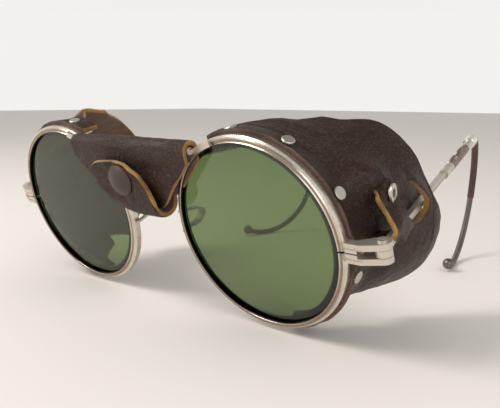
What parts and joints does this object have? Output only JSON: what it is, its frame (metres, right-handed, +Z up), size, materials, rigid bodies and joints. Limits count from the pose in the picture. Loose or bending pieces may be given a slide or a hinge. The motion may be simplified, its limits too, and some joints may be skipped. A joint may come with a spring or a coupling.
{
  "type": "aviator flying goggles",
  "caption": "Aviator flying goggles: two round green lenses in metal rims, riveted leather side shields, a leather nose saddle with a snap flap, and folding cable temples with ear hooks.",
  "frame": {"origin": "centre of the bounding box on the surface that the goggles stand on", "axes": "+X to the wearer's left, +Y from the lenses back to the ear hooks, +Z up from the surface"},
  "size_m": [0.1438, 0.136, 0.0573],
  "materials": {
    "nickel_silver": "worn satin nickel silver",
    "rivet_nickel": "dull nickel",
    "green_glass": "polished green tint",
    "brown_leather": "smooth grain, raw tan edges",
    "snap_enamel": "satin dark brown enamel",
    "brown_sleeve": "aged brown covering",
    "dark_cable": "tarnished wound wire"
  },
  "bodies": {
    "front_frame": {"bridge": "nickel_silver", "end_plate_lower_left": "nickel_silver", "end_plate_lower_right": "nickel_silver", "end_plate_upper_left": "nickel_silver", "end_plate_upper_right": "nickel_silver", "hinge_screw_left": "nickel_silver", "hinge_screw_right": "nickel_silver", "lens_left": "green_glass", "lens_right": "green_glass", "nose_guard": "brown_leather", "nose_pad_left": "nickel_silver", "nose_pad_right": "nickel_silver", "nose_strap": "brown_leather", "rim_left": "nickel_silver", "rim_right": "nickel_silver", "shield_band_left": "nickel_silver", "shield_band_right": "nickel_silver", "shield_rivets_left": "rivet_nickel", "shield_rivets_right": "rivet_nickel", "side_shield_left": "brown_leather", "side_shield_right": "brown_leather", "snap_stud": "nickel_silver"},
    "temple_left": {"keeper_left": "brown_leather", "eyelet_left": "rivet_nickel", "temple_bar_left": "nickel_silver", "ferrule_left": "nickel_silver", "cable_coil_left": "nickel_silver", "cable_collar_left": "nickel_silver", "cable_bead_left": "nickel_silver", "cable_core_left": "dark_cable", "cable_cover_left": "brown_sleeve", "ear_cable_left": "dark_cable", "ball_tip_left": "nickel_silver"},
    "temple_right": {"keeper_right": "brown_leather", "eyelet_right": "rivet_nickel", "temple_bar_right": "nickel_silver", "ferrule_right": "nickel_silver", "cable_coil_right": "nickel_silver", "cable_collar_right": "nickel_silver", "cable_bead_right": "nickel_silver", "cable_core_right": "dark_cable", "cable_cover_right": "brown_sleeve", "ear_cable_right": "dark_cable", "ball_tip_right": "nickel_silver"},
    "nose_flap": {"nose_flap": "brown_leather", "snap_cap": "snap_enamel", "snap_socket": "nickel_silver"}
  },
  "joints": [
    {"name": "temple_fold_left", "type": "hinge", "parent": "front_frame", "child": "temple_left", "pos_m": [0.06985, -0.05137, 0.02688], "axis": [0, -0.2974, 0.9547], "range_deg": [-12, 68], "deforming": ["side_shield_left", "keeper_left"]},
    {"name": "temple_fold_right", "type": "hinge", "parent": "front_frame", "child": "temple_right", "pos_m": [-0.06985, -0.05137, 0.02688], "axis": [0, 0.2974, -0.9547], "range_deg": [-18, 52], "deforming": ["side_shield_right", "keeper_right"]},
    {"name": "nose_flap_lift", "type": "hinge", "parent": "front_frame", "child": "nose_flap", "pos_m": [0, -0.06318, 0.03159], "axis": [1, 0, 0], "range_deg": [0, 110], "deforming": ["nose_strap"]}
  ]
}
